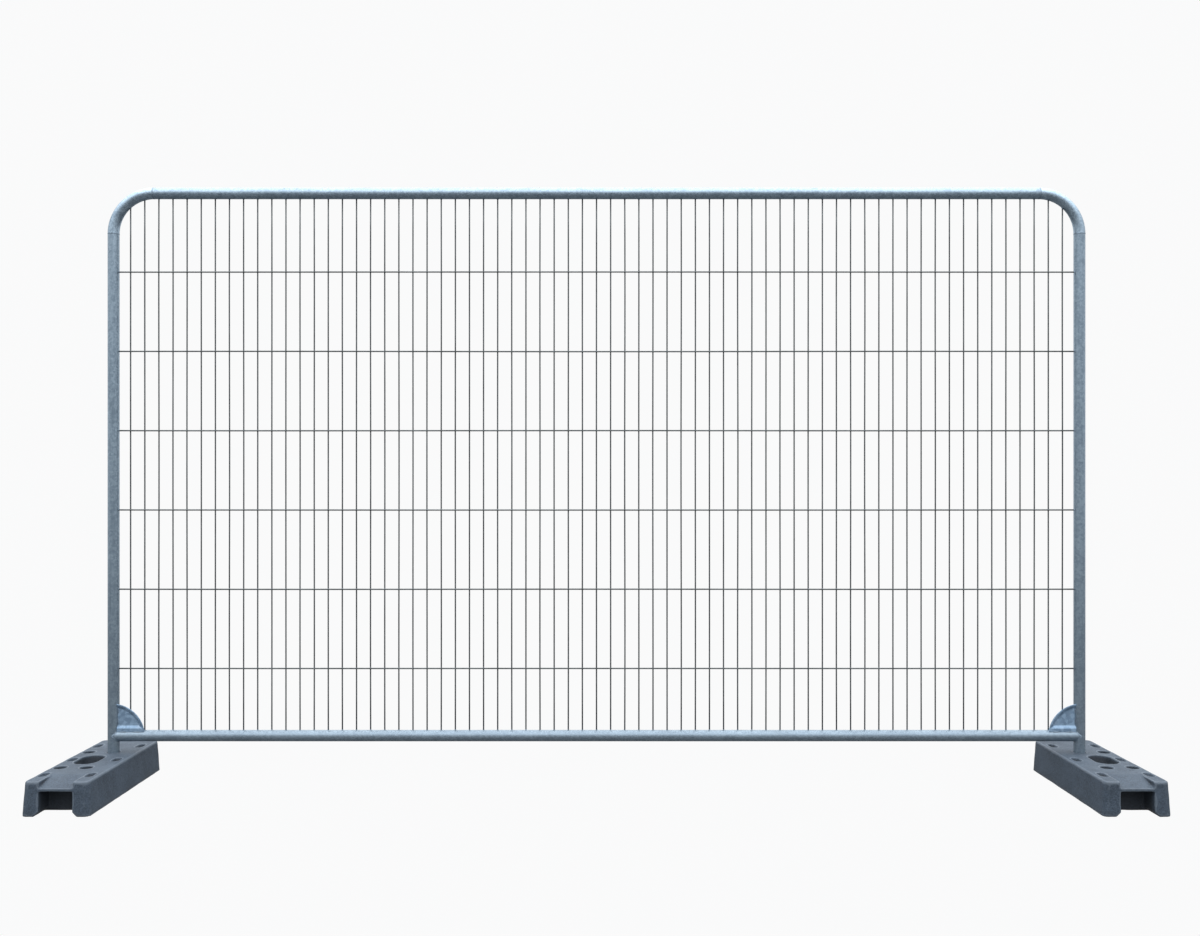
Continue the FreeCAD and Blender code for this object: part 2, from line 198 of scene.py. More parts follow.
def mount_piece(name, mesh, finish, body, nodes=()):
    """Puts a mesh in the scene, smooth but for its flat end caps."""
    piece = bpy.data.objects.new(name, mesh)
    bpy.context.scene.collection.objects.link(piece)
    corners = np.empty(len(mesh.polygons), np.int32)
    mesh.polygons.foreach_get("loop_total", corners)
    mesh.polygons.foreach_set("use_smooth", corners <= 4)
    mesh.materials.append(finish)
    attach(piece, body)
    if nodes:
        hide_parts(*nodes)
    return piece


# --------------------------------------------------------------- shader maths
class Level:
    """A number or colour over a surface: a shader socket with operators."""

    def __init__(self, recipe, socket):
        self.recipe = recipe
        self.socket = socket

    def maths(self, operation, first, second):
        return self.recipe.node("ShaderNodeMath", {"operation": operation}, {0: first, 1: second})

    def __add__(self, other):
        return self.maths("ADD", self, other)

    def __radd__(self, other):
        return self.maths("ADD", other, self)

    def __sub__(self, other):
        return self.maths("SUBTRACT", self, other)

    def __rsub__(self, other):
        return self.maths("SUBTRACT", other, self)

    def __mul__(self, other):
        return self.maths("MULTIPLY", self, other)

    def __rmul__(self, other):
        return self.maths("MULTIPLY", other, self)


class Recipe:
    """The nodes of a finish or of the studio's air. One method makes any node
    and fills its sockets."""

    def __init__(self, owner):
        self.owner = owner
        owner.use_nodes = True
        self.tree = owner.node_tree
        self.tree.nodes.clear()
        self.place = self.node("ShaderNodeTexCoord", out="Object")

    def node(self, kind, settings=None, sockets=None, out=0):
        made = self.tree.nodes.new(kind)
        for key, value in (settings or {}).items():
            setattr(made, key, value)
        for key, value in (sockets or {}).items():
            if isinstance(value, Level):
                self.tree.links.new(value.socket, made.inputs[key])
            else:
                made.inputs[key].default_value = value
        return Level(self, made.outputs[out])

    def stretched(self, scale):
        return self.node("ShaderNodeMapping", {}, {"Vector": self.place, "Scale": scale})

    def noise(self, scale, detail=3.0, roughness=0.55, place=None, distortion=0.0):
        return self.node("ShaderNodeTexNoise", {}, {
            "Vector": place or self.place, "Scale": scale, "Detail": detail,
            "Roughness": roughness, "Distortion": distortion})

    def cells(self, scale, place=None):
        """A different number from 0 to 1 for each crystal or crumb."""
        colour = self.node("ShaderNodeTexVoronoi", {"feature": "F1"},
                           {"Vector": place or self.place, "Scale": scale}, "Color")
        return self.node("ShaderNodeSeparateColor", {}, {"Color": colour}, "Red")

    def between(self, value, low, high):
        """0 below low, 1 above high, smooth between them."""
        return self.node("ShaderNodeMapRange", {"interpolation_type": "SMOOTHSTEP"},
                         {"Value": value, "From Min": low, "From Max": high})

    def blend(self, share, first, second):
        """first where the share is 0, second where it is 1."""
        colours = {6: first, 7: second}
        return self.node("ShaderNodeMix", {"data_type": "RGBA"}, {0: share, **colours}, 2)

    def height_above_ground(self):
        return self.node("ShaderNodeSeparateXYZ", {}, {"Vector": self.place}, "Z")

    def facing_up(self):
        normal = self.node("ShaderNodeNewGeometry", out="Normal")
        return self.node("ShaderNodeSeparateXYZ", {}, {"Vector": normal}, "Z")

    def finished(self, colour, roughness, metallic, relief, relief_depth, **fixed):
        """The shader itself. Relief is a height from 0 to 1, its depth in metres."""
        bump = self.node("ShaderNodeBump", {}, {"Strength": 1.0, "Distance": relief_depth,
                                                "Height": relief})
        shader = self.node("ShaderNodeBsdfPrincipled", {}, {
            "Base Color": colour, "Roughness": roughness, "Metallic": metallic,
            "Normal": bump, **fixed})
        return self.output(shader, "ShaderNodeOutputMaterial")

    def output(self, shader, kind):
        last = self.tree.nodes.new(kind)
        self.tree.links.new(shader.socket, last.inputs["Surface"])
        return self.owner


# ----------------------------------------------------------------- finishes
def galvanised(name, drawn, painted_brightness=1.0, dull=0.0):
    """Dipped zinc on tube: crystals a few millimetres across, drawn out streaks along the tube,
    dull bloom, dark scuffs, and painted shade that darkens it towards the ground. Its painted
    brightness scales the colour, making lit and shaded copies of one zinc."""
    z = Recipe(bpy.data.materials.new(name))
    crystal = z.cells(150)
    streak = z.noise(1.0, 4, 0.6, z.stretched(drawn))
    bloom = z.noise(9, 4, 0.6)
    scuff = z.between(z.noise(34, 5, 0.65, distortion=0.6), 0.60, 0.72)
    # painted shade: the zinc grows darker and less metallic towards the ground
    ground_shade = 1 - z.between(z.height_above_ground() + 0.5 * bloom, 0.25, 1.35)
    shade = 0.30 * crystal + 0.45 * streak + 0.35 * bloom
    colour = z.blend(z.between(shade, 0.30, 0.80),
                     # painted light: this factor brightens or darkens the whole colour, for lit
                     # and shaded copies of this zinc
                     (0.205 * painted_brightness, 0.275 * painted_brightness, 0.350 * painted_brightness, 1),
                     (0.325 * painted_brightness, 0.420 * painted_brightness, 0.510 * painted_brightness, 1))
    colour = z.blend(scuff * 0.45, colour, (0.130, 0.168, 0.205, 1))
    colour = z.blend(ground_shade * 0.55, colour, (0.108, 0.140, 0.172, 1))
    roughness = 0.26 + dull + 0.14 * streak + 0.08 * crystal + 0.12 * scuff
    metallic = 0.86 - 0.25 * ground_shade
    relief = 0.55 * z.noise(420, 3, 0.6) + 0.30 * crystal + 0.15 * streak
    return z.finished(colour, roughness, metallic, relief, 0.00012)


def drawn_wire(name):
    """Zinc on drawn wire: fine specks in slow clouds, duller than the tube."""
    z = Recipe(bpy.data.materials.new(name))
    speck = z.noise(260, 4, 0.6)
    bloom = z.noise(7, 3, 0.6)
    colour = z.blend(z.between(0.5 * speck + 0.5 * bloom, 0.35, 0.68),
                     (0.055, 0.064, 0.068, 1), (0.118, 0.135, 0.142, 1))
    roughness = 0.42 + 0.18 * speck
    metallic = 0.80 - 0.15 * bloom
    return z.finished(colour, roughness, metallic, speck, 0.00008)


def pressed_zinc(name):
    """Zinc on the pressed gussets: larger crystals, soft runs, rubbed patches."""
    z = Recipe(bpy.data.materials.new(name))
    crystal = z.cells(95)
    runs = z.noise(1.0, 4, 0.6, z.stretched((70, 70, 16)))
    rub = z.between(z.noise(26, 5, 0.65), 0.55, 0.72)
    colour = z.blend(z.between(0.5 * crystal + 0.5 * runs, 0.25, 0.75),
                     (0.180, 0.268, 0.380, 1), (0.280, 0.395, 0.525, 1))
    colour = z.blend(rub * 0.35, colour, (0.30, 0.37, 0.45, 1))
    roughness = 0.50 + 0.16 * runs + 0.10 * crystal
    metallic = 0.80 - 0.15 * rub
    relief = 0.5 * z.noise(300, 3, 0.6) + 0.3 * crystal + 0.2 * runs
    return z.finished(colour, roughness, metallic, relief, 0.00015)


def weld_metal(name):
    """Weld under cold zinc paint: grainy, heat-dulled in patches, spattered."""
    z = Recipe(bpy.data.materials.new(name))
    grain = z.noise(520, 4, 0.65)
    heat = z.between(z.noise(60, 3, 0.6), 0.45, 0.65)
    spatter = z.between(z.cells(700), 0.90, 0.97)
    colour = z.blend(heat, (0.220, 0.290, 0.365, 1), (0.135, 0.178, 0.225, 1))
    colour = z.blend(spatter * 0.5, colour, (0.30, 0.37, 0.44, 1))
    roughness = 0.46 + 0.22 * grain
    metallic = 0.75 - 0.20 * heat
    return z.finished(colour, roughness, metallic, grain + 0.8 * spatter, 0.0002)


def moulded_rubber(name):
    """Moulded crumb rubber: dull blue-grey, crumbs a few millimetres across, flow marks, pale dust
    on what faces up, scuffs along worn edges, soil at the ground and near-black painted shade in
    the recesses."""
    z = Recipe(bpy.data.materials.new(name))
    crumb = z.cells(330)
    flow = z.noise(7, 5, 0.6, distortion=0.8)
    grit = z.noise(600, 4, 0.7)
    worn = z.node("ShaderNodeAttribute", {"attribute_name": "edge_wear"}, out="Fac")
    dusty = z.between(z.facing_up(), 0.25, 0.95) * z.between(z.noise(13, 5, 0.6), 0.30, 0.66)
    scuffed = z.between(worn * (0.35 + 1.1 * z.noise(45, 4, 0.65)), 0.22, 0.55)
    painted_shade_share = z.node("ShaderNodeAttribute", {"attribute_name": "recess_shade"}, out="Fac")
    soil = 1 - z.between(z.height_above_ground() + 0.03 * flow, 0.004, 0.040)
    colour = z.blend(z.between(0.45 * crumb + 0.75 * flow, 0.35, 0.85),
                     (0.020, 0.033, 0.051, 1), (0.042, 0.063, 0.093, 1))
    colour = z.blend(dusty * 0.35, colour, (0.070, 0.098, 0.130, 1))
    colour = z.blend(scuffed * 0.45, colour, (0.104, 0.133, 0.170, 1))
    colour = z.blend(soil * 0.45, colour, (0.038, 0.047, 0.056, 1))
    # painted shade: the recesses darkened towards near-black
    colour = z.blend(painted_shade_share * (0.62 + 0.2 * flow), colour, (0.006, 0.009, 0.014, 1))
    roughness = 0.66 + 0.18 * grit - 0.10 * scuffed
    relief = 0.45 * grit + 0.25 * crumb + 0.30 * z.noise(120, 4, 0.6)
    return z.finished(colour, roughness, 0.0, relief, 0.0006)


# One zinc in lit and shaded copies: the post's copy darker as painted shade, the rails' and the
# bend's brighter as painted highlight
post_zinc = galvanised("galvanised_post", (90, 90, 5), 0.93)
rail_zinc = galvanised("galvanised_rail", (5, 90, 90), 1.06, 0.08)
bend_zinc = galvanised("galvanised_bend", (22, 60, 22), 1.12)
wire_zinc = drawn_wire("drawn_wire_zinc")
plate_zinc = pressed_zinc("pressed_plate_zinc")
weld_zinc = weld_metal("painted_weld")
foot_rubber = moulded_rubber("moulded_foot_rubber")


# ------------------------------------------------------------ frame of tube
def straight_tube(outline, start, direction, side_a, side_b):
    """Points start + s direction + r (cos a side_a + sin a side_b), for the
    outline's distance s and radius r and the angle a round the tube."""
    along, radius = outline
    a = np.linspace(0, 2 * np.pi, TUBE_SIDES, endpoint=False)
    ring = np.cos(a)[:, None] * np.array(side_a) + np.sin(a)[:, None] * np.array(side_b)
    points = (np.array(start) + along[:, None, None] * np.array(direction)
              + radius[:, None, None] * ring[None])
    return points.reshape(-1, 3), grid_quads(len(along), TUBE_SIDES)


def post_tube(side):
    outline = wall_outline(BEND_Z - LEG_Z, TUBE_SPANS)
    return straight_tube(outline, (side * POST_X, PANEL_Y, LEG_Z), (0, 0, 1), (1, 0, 0), (0, 1, 0))


def top_rail_tube():
    outline = wall_outline(2 * BEND_X, TUBE_SPANS)
    return straight_tube(outline, (-BEND_X, PANEL_Y, TOP_Z), (1, 0, 0), (0, 1, 0), (0, 0, 1))


def bend_tube(side):
    """Quarter ring of tube: the point at arc angle t and section angle a lies
    BEND_R + r cos(a) from the bend's centre and r sin(a) off its plane. Half
    way round, the tube is squeezed a little in the plane of the bend."""
    length = BEND_R * np.pi / 2
    along, radius = wall_outline(length, BEND_SPANS)
    t = (along / BEND_R)[:, None]
    a = np.linspace(0, 2 * np.pi, TUBE_SIDES, endpoint=False)[None]
    squeeze = 1 - BEND_SQUEEZE * np.sin(2 * t) ** 2
    out = BEND_R + radius[:, None] * np.cos(a) * squeeze
    off = radius[:, None] * np.sin(a) * np.ones_like(t)
    x = side * (BEND_X + out * np.cos(t))
    points = np.stack([x, PANEL_Y + off, BEND_Z + out * np.sin(t)], axis=-1)
    return points.reshape(-1, 3), grid_quads(len(along), TUBE_SIDES)


def bottom_rail_tube():
    """Level tube whose ends follow the posts: at height r cos(a) and depth
    r sin(a) its end stands sqrt(R^2 - depth^2) from the post's axis. The outline
    runs from 0 to 2, so that its share of the reach runs from -1 to 1."""
    along, radius = wall_outline(2.0, TUBE_SPANS)
    a = np.linspace(0, 2 * np.pi, TUBE_SIDES, endpoint=False)[None]
    depth = radius[:, None] * np.sin(a)
    reach = POST_X - np.sqrt(np.maximum(TUBE_R ** 2 - depth ** 2, 0))
    x = (along[:, None] - 1) * reach
    points = np.stack([x, PANEL_Y + depth, RAIL_Z + radius[:, None] * np.cos(a)], axis=-1)
    return points.reshape(-1, 3), grid_quads(len(along), TUBE_SIDES)


# ------------------------------------------------------------------- welds
BEAD_SIDES = 8
RAIL_BEAD = 0.0024
RAIL_SCALES = 34
SADDLE_SHARE = 0.012
RING_HEIGHT = 0.0006
RING_WIDTH = 0.0034
RING_SINK = 0.0002
RING_SCALES = 30
TOP_MARGIN = 0.0001        # kept clear below the top of the CAD's own box


def rail_weld(side):
    """Fillet bead round the bottom rail's end. Its line is the rail's section
    set against the post: at section angle a it stands R sqrt(cos^2 a + a small
    share) from the post's axis, the share rounding it at the sides."""
    count = 180
    a = np.linspace(0, 2 * np.pi, count, endpoint=False)
    inset = TUBE_R * np.sqrt(np.cos(a) ** 2 + SADDLE_SHARE)
    centres = np.stack([side * (POST_X - inset), PANEL_Y + TUBE_R * np.sin(a),
                        RAIL_Z + TUBE_R * np.cos(a)], axis=-1)
    outward = np.stack([np.zeros(count), np.sin(a), np.cos(a)], axis=-1)
    inward = np.tile([-side, 0.0, 0.0], (count, 1))
    size = RAIL_BEAD * rippled(RAIL_SCALES, count, 0.22)
    return sweep(centres, inward, outward, size * 1.5, size * 0.6, BEAD_SIDES, closed=True)


def tube_ring(middle, direction, side_a):
    """Low butt-weld bead round a tube, ground flush at the top of the frame."""
    count = 150
    a = np.linspace(0, 2 * np.pi, count, endpoint=False)[:, None]
    direction, side_a = np.array(direction, float), np.array(side_a, float)
    outward = np.cos(a) * side_a + np.sin(a) * np.array([0.0, 1.0, 0.0])
    along = np.tile(direction, (count, 1))
    height = RING_HEIGHT * rippled(RING_SCALES, count, 0.35)
    width = RING_WIDTH * rippled(RING_SCALES, count, 0.12)
    centres = np.array(middle) + (TUBE_R - RING_SINK) * outward
    points, faces = sweep(centres, along, outward, width, height, BEAD_SIDES, closed=True)
    points[:, 2] = np.minimum(points[:, 2], cad_high.z - TOP_MARGIN)
    return points, faces


def bend_welds(side):
    low = tube_ring((side * POST_X, PANEL_Y, BEND_Z), (0, 0, 1), (1, 0, 0))
    high = tube_ring((side * BEND_X, PANEL_Y, TOP_Z), (1, 0, 0), (0, 0, 1))
    return gather([low, high])


def stitch(start, end, across, upward, size, scales):
    """Short bead from start to end. Its girth is the root of 1 - w^6, for w from
    -1 to 1 along it, so it is nearly even and rounds off at its ends."""
    count = 60
    t = np.linspace(0, 1, count)[:, None]
    centres = np.array(start) * (1 - t) + np.array(end) * t
    swell = np.sqrt(np.clip(1 - (2 * t[:, 0] - 1) ** 6, 0.02, 1))
    girth = size * swell * rippled(scales, count, 0.20, closed=False)
    across = np.tile(np.array(across, float), (count, 1))
    upward = np.tile(np.array(upward, float), (count, 1))
    return sweep(centres, across, upward, girth * 1.2, girth * 0.8, BEAD_SIDES)


# ----------------------------------------------------------------- gussets
GUSSET_SETBACK = 0.004
GUSSET_SHEET = 0.003
GUSSET_RISE = 0.006
GUSSET_RIM = 0.003
GUSSET_FOOT = 0.008
GUSSET_SLOPE = 0.013
GUSSET_BITE = 0.0014
GUSSET_EDGE = 0.0005
STITCH_SIZE = 0.0021
STITCH_OVER_RAIL = 0.0172
STITCH_OFF_POST = 0.0192
STITCH_IN_RIM = 0.0012     # how far behind the rim's face its stitches run
STITCH_ON_FIELD = 0.0006   # how far in front of the flat field the others run
RAIL_STITCHES = ((0.027, 0.052), (0.076, 0.100))
POST_STITCHES = ((0.044, 0.066), (0.080, 0.098))


def fade(distance, flat, slope):
    """1 over the flat, 0 beyond the slope, smooth between them."""
    t = np.clip((distance - flat) / slope, 0, 1)
    return 1 - t * t * (3 - 2 * t)


def gusset_sheet(side):
    """Quarter-disc sheet. A unit square (u, v) is sent to it along rays from
    its corner, the ray's share being the larger of u and v, so that two sides
    of the square are the straight edges and the other two the arc. Its height
    is the larger of two fades, from the arc and from the edge on the rail."""
    low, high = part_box("right_gusset")
    radius = POST_X - low.x
    count = 72
    u, v = np.meshgrid(np.linspace(0, 1, count), np.linspace(0, 1, count), indexing="ij")
    size = np.maximum(np.hypot(u, v), 1e-9)
    du, dv = u / size, v / size
    corner = TUBE_R - GUSSET_SETBACK
    toward = corner * (du + dv)
    reach = -toward + np.sqrt(toward ** 2 + radius ** 2 - 2 * corner ** 2)
    share = np.maximum(u, v) * reach
    out, up = corner + share * du, corner + share * dv
    from_arc = radius - np.hypot(out, up)
    from_rail = up - TUBE_R
    rise = np.maximum(fade(from_arc, GUSSET_RIM, GUSSET_SLOPE),
                      fade(from_rail, GUSSET_FOOT - GUSSET_BITE, GUSSET_SLOPE))
    front = high.y - GUSSET_SHEET - GUSSET_RISE * rise
    back = front + GUSSET_SHEET
    x, z = side * (POST_X - out), RAIL_Z + up
    layers = [np.stack([x, y, z], axis=-1).reshape(-1, 3) for y in (front, back)]
    quads = grid_quads(count, count, False, False)
    total = count * count
    rim = np.concatenate([np.arange(count), np.arange(2, count + 1) * count - 1,
                          total - 2 - np.arange(count - 1),
                          np.arange(count - 2, 0, -1) * count])
    walls = np.stack([rim, np.roll(rim, -1), np.roll(rim, -1) + total, rim + total], axis=-1)
    faces = quads + [[corner_id + total for corner_id in quad] for quad in quads] + walls.tolist()
    return np.concatenate(layers), faces


def gusset_welds(side):
    """Two stitches on the rail, two on the post, in front of the sheet."""
    low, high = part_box("right_gusset")
    face = low.y + STITCH_IN_RIM
    field = high.y - GUSSET_SHEET - STITCH_ON_FIELD
    shapes = []
    for near, far in RAIL_STITCHES:
        shapes.append(stitch((side * (POST_X - near), face, RAIL_Z + STITCH_OVER_RAIL),
                             (side * (POST_X - far), face, RAIL_Z + STITCH_OVER_RAIL),
                             (0, -0.8, -0.6), (0, -0.6, 0.8), STITCH_SIZE, 9))
    for near, far in POST_STITCHES:
        shapes.append(stitch((side * (POST_X - STITCH_OFF_POST), field, RAIL_Z + near),
                             (side * (POST_X - STITCH_OFF_POST), field, RAIL_Z + far),
                             (-side * 0.8, -0.6, 0), (side * 0.6, -0.8, 0), STITCH_SIZE, 8))
    return gather(shapes)


# ------------------------------------------------------------- welded wire
CROSSING_WELD = (0.0027, 0.0022, 0.0027)
END_WELD = (0.0034, 0.0034, 0.0026)
UPRIGHT_BOW = 0.00028
LEVEL_BOW = 0.0004
UPRIGHT_SPANS = 16
LEVEL_SPANS = 64


def wire_run(start, end, bow, bow_way, spans):
    """Round wire from start to end, bowed sideways by two low sine waves that
    are nothing at its ends."""
    t = np.linspace(0, 1, spans + 1)
    wave = bow[0] * np.sin(np.pi * t) + bow[1] * np.sin(3 * np.pi * t)
    start, end = np.array(start, float), np.array(end, float)
    centres = start + t[:, None] * (end - start) + wave[:, None] * np.array(bow_way, float)
    other = np.cross((end - start) / np.linalg.norm(end - start), bow_way)
    across = np.tile(np.array(bow_way, float), (spans + 1, 1))
    upward = np.tile(other, (spans + 1, 1))
    return sweep(centres, across, upward, WIRE_R, WIRE_R, WIRE_SIDES)


def wire_head(x):
    """Height where an upright wire ends: in the top rail's underside, or in the
    corner bend's inner side, a circle about the bend's centre."""
    past = max(abs(x) - BEND_X, 0.0)
    inner = BEND_R - TUBE_R + WELD_BITE
    return BEND_Z + math.sqrt(inner ** 2 - past ** 2)


def upright_set(places):
    bows = rng.normal(0, UPRIGHT_BOW, (len(places), 2))
    return gather([wire_run((x, UPRIGHT_Y, UPRIGHT_FOOT), (x, UPRIGHT_Y, wire_head(x)),
                            bow, (1, 0, 0), UPRIGHT_SPANS) for x, bow in zip(places, bows)])


def crossing_places():
    """The middle of every crossing of an upright wire and a level one."""
    x, z = np.meshgrid(upright_x, level_z)
    return np.stack([x, np.full_like(x, PANEL_Y), z], axis=-1).reshape(-1, 3)


def wire_end_places():
    feet = [(x, UPRIGHT_Y, RAIL_Z + TUBE_R) for x in upright_x]
    heads = [(x, UPRIGHT_Y, wire_head(x) - WELD_BITE) for x in upright_x]
    ends = [(side * (POST_X - TUBE_R), LEVEL_Y, z) for z in level_z for side in (-1, 1)]
    return np.array(feet + heads + ends)


# -------------------------------------------------------------------- feet
FOOT_VOXEL = 0.003
FOOT_DRAFT = math.radians(3.2)
SLOPE_LENGTH = 0.105
SLOPE_MARGIN = 0.006
SOCKET_PLAY = 0.001
SOCKET_PITCH = 0.088
SOCKET_FLOOR = 0.015
SOCKET_BAND = 0.004        # points this near a bore are set out on it
WAVE_COUNT = 12
WAVE_HEIGHT = 0.0003
WAVE_LENGTH = 0.06
FULL_WEAR = 0.00022        # how far a fully worn edge stands proud
SHELTER_START = 0.006
SHELTER_SPAN = 0.020
SHELTER_TOP = 0.003        # the top face and its rounded edges get no painted shade
SHELTER_DEPTH = 0.006
LEVEL_ENOUGH = 0.7         # upward part of the normal of the slope's own face


def remeshed(node, voxel):
    """A merged copy of a CAD node's mesh, made again from small even quads."""
    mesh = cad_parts[node].data.copy()
    shell = bmesh.new()
    shell.from_mesh(mesh)
    bmesh.ops.remove_doubles(shell, verts=shell.verts, dist=1e-5)
    shell.to_mesh(mesh)
    shell.free()
    block = bpy.data.objects.new("block", mesh)
    bpy.context.scene.collection.objects.link(block)
    remesh = block.modifiers.new("remesh", "REMESH")
    remesh.mode = "VOXEL"
    remesh.voxel_size = voxel
    smooth = block.modifiers.new("smooth", "SMOOTH")
    smooth.factor = 0.5
    smooth.iterations = 3
    shaped = block.evaluated_get(bpy.context.evaluated_depsgraph_get())
    made = bpy.data.meshes.new_from_object(shaped)
    bpy.data.objects.remove(block)
    made.materials.clear()
    return made


def low_waves(points, count, size):
    """Sum of sine waves in random directions, about -1 to 1, size metres long."""
    total = np.zeros(len(points))
    for _ in range(count):
        way = rng.normal(size=3)
        way *= 2 * np.pi / (size * np.linalg.norm(way) * rng.uniform(0.7, 1.4))
        total += np.sin(points @ way + rng.uniform(0, 2 * np.pi))
    return total / math.sqrt(count)


def bulge(mesh, points, normals):
    """How far each point stands proud of its neighbours, smoothed twice."""
    edges = np.empty(len(mesh.edges) * 2, np.int32)
    mesh.edges.foreach_get("vertices", edges)
    a, b = edges.reshape(-1, 2).T
    ties = np.bincount(a, minlength=len(points)) + np.bincount(b, minlength=len(points))

    def mean_of_neighbours(values):
        total = (np.bincount(a, values[b], len(points)) + np.bincount(b, values[a], len(points)))
        return total / np.maximum(ties, 1)

    around = np.stack([mean_of_neighbours(points[:, axis]) for axis in range(3)], axis=-1)
    proud = ((points - around) * normals).sum(axis=1)
    for _ in range(2):
        proud = 0.5 * proud + 0.5 * mean_of_neighbours(proud)
    return proud


def recess_shade(points, normals, low, high):
    """How sheltered each point is, which sets the painted shade in the recesses: 0 near the
    block's drafted sides, rising evenly to 1 inside them, and 0 on its top face and on its front
    slope."""
    z = points[:, 2] - low.z
    lean = z * math.tan(FOOT_DRAFT)
    from_side = (high.x - low.x) / 2 - lean - np.abs(points[:, 0] - (high.x + low.x) / 2)
    from_end = (high.y - low.y) / 2 - lean - np.abs(points[:, 1] - (high.y + low.y) / 2)
    inside = np.clip((np.minimum(from_side, from_end) - SHELTER_START) / SHELTER_SPAN, 0, 1)
    below = np.clip((high.z - SHELTER_TOP - points[:, 2]) / SHELTER_DEPTH, 0, 1)
    sloped = (points[:, 1] < low.y + SLOPE_LENGTH + SLOPE_MARGIN) & (normals[:, 2] > LEVEL_ENOUGH)
    return np.where(sloped, 0, inside * below)


def add_value(mesh, name, values):
    attribute = mesh.attributes.new(name, "FLOAT", "POINT")
    attribute.data.foreach_set("value", values.astype(np.float32))


def set_out_sockets(points, side, top):
    """Puts the points near each socket's wall back on its round bore, fading
    out towards the rounded rim and leaving the floor's corner as it is."""
    bore = TUBE_R + SOCKET_PLAY
    for socket_x in (side * POST_X, side * (POST_X + SOCKET_PITCH)):
        for socket_y in (PANEL_Y, -PANEL_Y):
            offset = points[:, :2] - np.array([socket_x, socket_y])
            distance = np.hypot(offset[:, 0], offset[:, 1])
            depth = np.clip((top - SOCKET_BAND - points[:, 2]) / SOCKET_BAND, 0, 1)
            walls = ((np.abs(distance - bore) < SOCKET_BAND)
                     & (points[:, 2] > SOCKET_FLOOR + FOOT_VOXEL))
            target = np.where(walls, distance + (bore - distance) * depth, distance)
            target = np.where(walls, np.maximum(target, bore), target)
            points[:, :2] += offset * (target / np.maximum(distance, 1e-9) - 1)[:, None]


def read_vectors(mesh, what):
    values = np.empty(len(mesh.vertices) * 3)
    mesh.vertices.foreach_get(what, values)
    return values.reshape(-1, 3)


def moulded_foot(word, side):
    """The CAD foot with soft edges, slight moulding waves, and its sockets set
    out again to their round bores."""
    node = word + "_foot"
    low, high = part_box(node)
    mesh = remeshed(node, FOOT_VOXEL)
    points, normals = read_vectors(mesh, "co"), read_vectors(mesh, "normal")
    wear = np.clip(bulge(mesh, points, normals) / FULL_WEAR, 0, 1)
    # how strongly painted shade darkens each point of the recesses
    shade_in_recess = recess_shade(points, normals, low, high)
    points += normals * (WAVE_HEIGHT * low_waves(points, WAVE_COUNT, WAVE_LENGTH))[:, None]
    set_out_sockets(points, side, high.z)
    points = np.clip(points, np.array(low), np.array(high))
    mesh.vertices.foreach_set("co", points.ravel())
    add_value(mesh, "edge_wear", wear)
    add_value(mesh, "recess_shade", shade_in_recess)
    mesh.update()
    return mesh


# ------------------------------------------------------------------ pieces
for word, side in SIDES.items():
    new_piece(word + "_post_tube", post_tube(side), post_zinc,
              nodes=[word + "_post"])
    new_piece(word + "_bend_tube", bend_tube(side), bend_zinc,
              nodes=[word + "_corner_bend"])
    new_piece(word + "_bend_welds", bend_welds(side), weld_zinc)
    new_piece(word + "_rail_weld", rail_weld(side), weld_zinc)
    sheet = new_piece(word + "_gusset_sheet", gusset_sheet(side), plate_zinc,
                      nodes=[word + "_gusset"])
    edge = sheet.modifiers.new("edge", "BEVEL")
    edge.width = GUSSET_EDGE
    edge.segments = 2
    edge.limit_method = "ANGLE"
    edge.angle_limit = math.radians(60)
    new_piece(word + "_gusset_welds", gusset_welds(side), weld_zinc)
    mount_piece(word + "_moulded_foot", moulded_foot(word, side), foot_rubber,
                word + "_foot", [word + "_foot"])
new_piece("top_rail_tube", top_rail_tube(), rail_zinc, nodes=["top_rail"])
new_piece("bottom_rail_tube", bottom_rail_tube(), rail_zinc,
          nodes=["bottom_rail"])

straight = np.abs(upright_x) <= BEND_X
new_piece("upright_wire_set", upright_set(upright_x[straight]), wire_zinc,
          nodes=["upright_wires"])
for word, side in SIDES.items():
    short = ~straight & (upright_x * side > 0)
    new_piece(word + "_short_wires", upright_set(upright_x[short]), wire_zinc,
              nodes=[word + "_corner_wires"])
for number, z in enumerate(level_z):
    wire = wire_run((-LEVEL_REACH, LEVEL_Y, z), (LEVEL_REACH, LEVEL_Y, z),
                    rng.normal(0, LEVEL_BOW, 2), (0, 0, 1), LEVEL_SPANS)
    new_piece("level_wire_%d" % (number + 1), wire, wire_zinc,
              nodes=["horizontal_wire_%d" % (number + 1)])
new_piece("wire_crossing_welds", nuggets(crossing_places(), CROSSING_WELD),
          weld_zinc)
new_piece("wire_end_welds", nuggets(wire_end_places(), END_WELD),
          weld_zinc)


# ------------------------------------------------------------------- studio
PALE = (0.955, 0.957, 0.960, 1)
DOME_REACH = 60.0
DOME_SIDES = 48
DOME_RINGS = 12
CAMERA_DISTANCE = 4.12
EYE_HEIGHT = 1.084


def pale_surface(name, points, faces):
    """Part of the studio: seen from the camera, it gives the object no light."""
    mesh = bpy.data.meshes.new(name)
    mesh.from_pydata(points, [], faces)
    surface = bpy.data.objects.new(name, mesh)
    bpy.context.scene.collection.objects.link(surface)
    paint = Recipe(bpy.data.materials.new(name))
    glow = paint.node("ShaderNodeEmission", {}, {"Color": PALE, "Strength": 1.0})
    mesh.materials.append(paint.output(glow, "ShaderNodeOutputMaterial"))
    surface.visible_diffuse = False
    surface.visible_glossy = False
    surface.visible_shadow = False


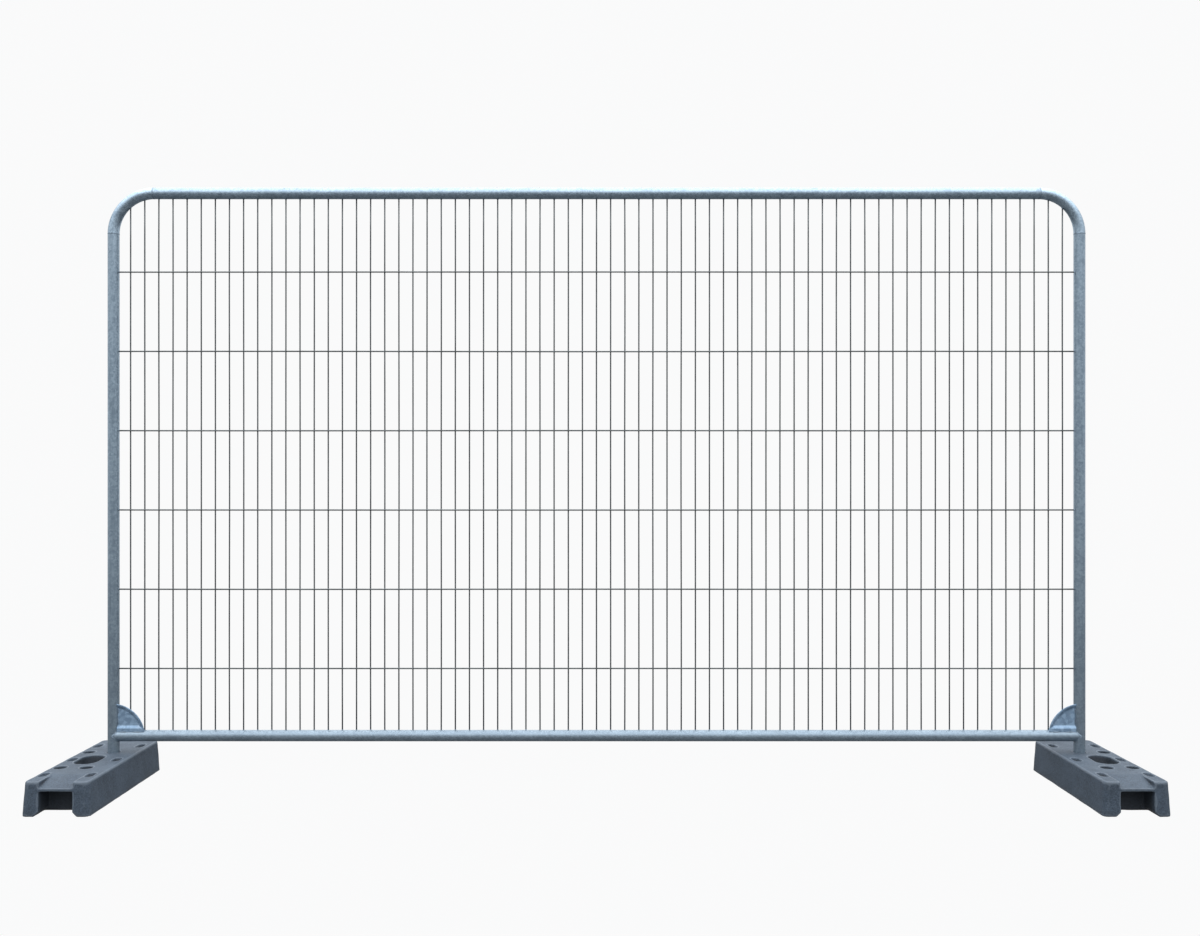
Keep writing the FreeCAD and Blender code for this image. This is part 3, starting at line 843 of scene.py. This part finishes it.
def studio_surfaces():
    """A plain round floor, and over it a dome of rings R (cos e, sin e) for the
    elevation e."""
    turn, rise = np.meshgrid(np.linspace(0, 2 * np.pi, DOME_SIDES, endpoint=False),
                             np.linspace(0, np.pi / 2 - 0.01, DOME_RINGS))
    dome = DOME_REACH * np.stack([np.cos(rise) * np.cos(turn), np.cos(rise) * np.sin(turn),
                                  np.sin(rise)], axis=-1)
    dome = dome.reshape(-1, 3).tolist()
    last = (DOME_RINGS - 1) * DOME_SIDES
    pale_surface("studio_floor", dome[:DOME_SIDES], [list(range(DOME_SIDES))])
    pale_surface("studio_dome", dome, grid_quads(DOME_RINGS, DOME_SIDES, close_rows=False)
                 + [list(range(last, last + DOME_SIDES))])


def studio_air():
    """Pale light all round: dim from below the ground and from low in front,
    near-white behind the object and brightest overhead."""
    air = Recipe(bpy.data.worlds.new("studio_air"))
    bpy.context.scene.world = air.owner
    way = air.node("ShaderNodeTexCoord", out="Generated")
    height = air.node("ShaderNodeSeparateXYZ", {}, {"Vector": way}, "Z")
    depth = air.node("ShaderNodeSeparateXYZ", {}, {"Vector": way}, "Y")
    level = air.between(height, -0.12, -0.035)
    overhead = air.between(height, 0.40, 0.66)
    low_front = air.between(0 - depth, 0.15, 0.80) * (1 - air.between(height, 0.05, 0.45))
    high_front = air.between(0 - depth, 0.15, 0.80) * air.between(height, 0.10, 0.40)
    strength = 0.26 + level * (0.74 - 0.40 * low_front) + 1.9 * overhead + 0.6 * high_front
    glow = air.node("ShaderNodeBackground", {}, {"Color": PALE, "Strength": strength})
    air.output(glow, "ShaderNodeOutputWorld")


def soft_light(name, place, aim, width, depth, power):
    lamp = bpy.data.lights.new(name, "AREA")
    lamp.shape = "RECTANGLE"
    lamp.size = width
    lamp.size_y = depth
    lamp.energy = power
    holder = bpy.data.objects.new(name, lamp)
    bpy.context.scene.collection.objects.link(holder)
    holder.location = place
    way = np.array(aim, float) - np.array(place, float)
    holder.rotation_euler = (math.atan2(math.hypot(way[0], way[1]), -way[2]), 0,
                             math.atan2(-way[0], way[1]))
    holder.visible_camera = False


def studio_camera():
    """Level camera square on to the panel, framed by a small lens shift."""
    lens = bpy.data.cameras.new("camera")
    lens.sensor_width = 36
    lens.lens = 34.5
    lens.shift_x = 0.0029
    lens.shift_y = 0.0104
    lens.clip_end = 200
    camera = bpy.data.objects.new("camera", lens)
    bpy.context.scene.collection.objects.link(camera)
    camera.location = (0, PANEL_Y - CAMERA_DISTANCE, EYE_HEIGHT)
    camera.rotation_euler = (math.radians(90), 0, 0)
    bpy.context.scene.camera = camera


studio_surfaces()
studio_air()
soft_light("overhead", (0, 0.4, 5.2), (0, 0.1, 1.0), 9.0, 3.0, 60)
studio_camera()
bpy.context.scene.view_settings.view_transform = "Standard"
